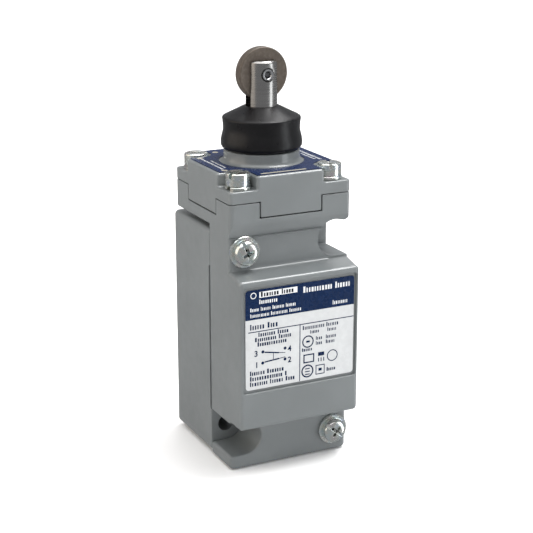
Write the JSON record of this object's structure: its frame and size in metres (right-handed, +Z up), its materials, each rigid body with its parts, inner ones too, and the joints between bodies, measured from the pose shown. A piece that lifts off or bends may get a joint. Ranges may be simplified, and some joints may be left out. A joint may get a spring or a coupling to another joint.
{
  "type": "limit switch",
  "caption": "Plug-in heavy-duty limit switch with a top roller plunger head and rubber boot, for mounting on a flat machine face.",
  "frame": {"origin": "middle of the diagonal mounting-hole pattern, on the flat back face of the receptacle", "axes": "+Z up along the plunger, -Y towards the front label, +Y out of the back mounting face, +X to the right seen from the front"},
  "size_m": [0.04, 0.0483, 0.1255],
  "materials": {
    "grey_paint": "semi-gloss grey enamel over a zinc die casting",
    "bright_zinc": "bright zinc plate",
    "stainless": "fine ground",
    "roller_steel": "sintered, slightly brown",
    "boot_rubber": "smooth moulded",
    "black_rubber": "matte",
    "label_vinyl": "satin printed film",
    "nameplate_blue": "satin printed aluminium foil",
    "spring_steel": "drawn wire",
    "bronze": "sintered, oiled",
    "brass": "stamped strip",
    "contact_silver": "stamped strip with silver contacts",
    "dark_plastic": "moulded phenolic",
    "ivory_plastic": "moulded",
    "ground_green": "green chromate"
  },
  "bodies": {
    "housing": {"receptacle": "grey_paint", "switch_body": "grey_paint", "head_casting": "grey_paint", "receptacle_gasket": "black_rubber", "head_gasket": "black_rubber", "rubber_boot": "boot_rubber", "plunger_seal_ring": "black_rubber", "front_label": "label_vinyl", "head_nameplate": "nameplate_blue", "lever_pivot_pin": "stainless", "plunger_bushing": "bronze", "plunger_return_spring": "spring_steel", "carrier_spring": "spring_steel", "contact_block": "dark_plastic", "plug_base": "dark_plastic", "terminal_block": "dark_plastic", "ground_screw": "ground_green", "body_screw_1": "bright_zinc", "body_screw_washer_1": "bright_zinc", "closed_contact_blade_1": "brass", "open_contact_blade_1": "brass", "terminal_block_screw_1": "bright_zinc", "body_screw_2": "bright_zinc", "body_screw_washer_2": "bright_zinc", "closed_contact_blade_2": "brass", "open_contact_blade_2": "brass", "terminal_block_screw_2": "bright_zinc", "head_screw_1": "bright_zinc", "head_lock_washer_1": "bright_zinc", "terminal_clip_1": "brass", "wire_clamp_1": "bright_zinc", "terminal_screw_1": "bright_zinc", "head_screw_2": "bright_zinc", "head_lock_washer_2": "bright_zinc", "terminal_clip_2": "brass", "wire_clamp_2": "bright_zinc", "terminal_screw_2": "bright_zinc", "head_screw_3": "bright_zinc", "head_lock_washer_3": "bright_zinc", "terminal_clip_3": "brass", "wire_clamp_3": "bright_zinc", "terminal_screw_3": "bright_zinc", "head_screw_4": "bright_zinc", "head_lock_washer_4": "bright_zinc", "terminal_clip_4": "brass", "wire_clamp_4": "bright_zinc", "terminal_screw_4": "bright_zinc"},
    "plunger_assembly": {"plunger": "stainless", "roller_pin": "stainless", "spring_retainer": "spring_steel", "retaining_ring": "spring_steel"},
    "roller_wheel": {"roller": "roller_steel"},
    "transfer_lever": {"transfer_lever": "bright_zinc"},
    "contact_carrier": {"contact_carrier": "ivory_plastic", "closed_contact_bridge": "contact_silver", "open_contact_bridge": "contact_silver", "closed_contact_spring": "spring_steel", "open_contact_spring": "spring_steel"}
  },
  "joints": [
    {"name": "plunger_slide", "type": "slide", "parent": "housing", "child": "plunger_assembly", "axis": [0, 0, -1], "range_m": [0, 0.005], "stiffness_N_per_m": 1500, "springref_m": -0.003, "deforming": ["rubber_boot", "plunger_return_spring"]},
    {"name": "roller_spin", "type": "hinge", "parent": "plunger_assembly", "child": "roller_wheel", "pos_m": [0, -0.022, 0.0782], "axis": [0, 1, 0], "continuous": true},
    {"name": "lever_rock", "type": "hinge", "parent": "housing", "child": "transfer_lever", "pos_m": [0, -0.03, 0.041], "axis": [-1, 0, 0], "range_deg": [0, 36.5]},
    {"name": "carrier_lift", "type": "slide", "parent": "housing", "child": "contact_carrier", "axis": [0, 0, 1], "range_m": [0, 0.00345], "deforming": ["carrier_spring"]}
  ],
  "couplings": [
    {"joint": "lever_rock", "follows": "plunger_slide", "rad_per_m": 127.13},
    {"joint": "carrier_lift", "follows": "plunger_slide", "ratio": 0.6875}
  ]
}
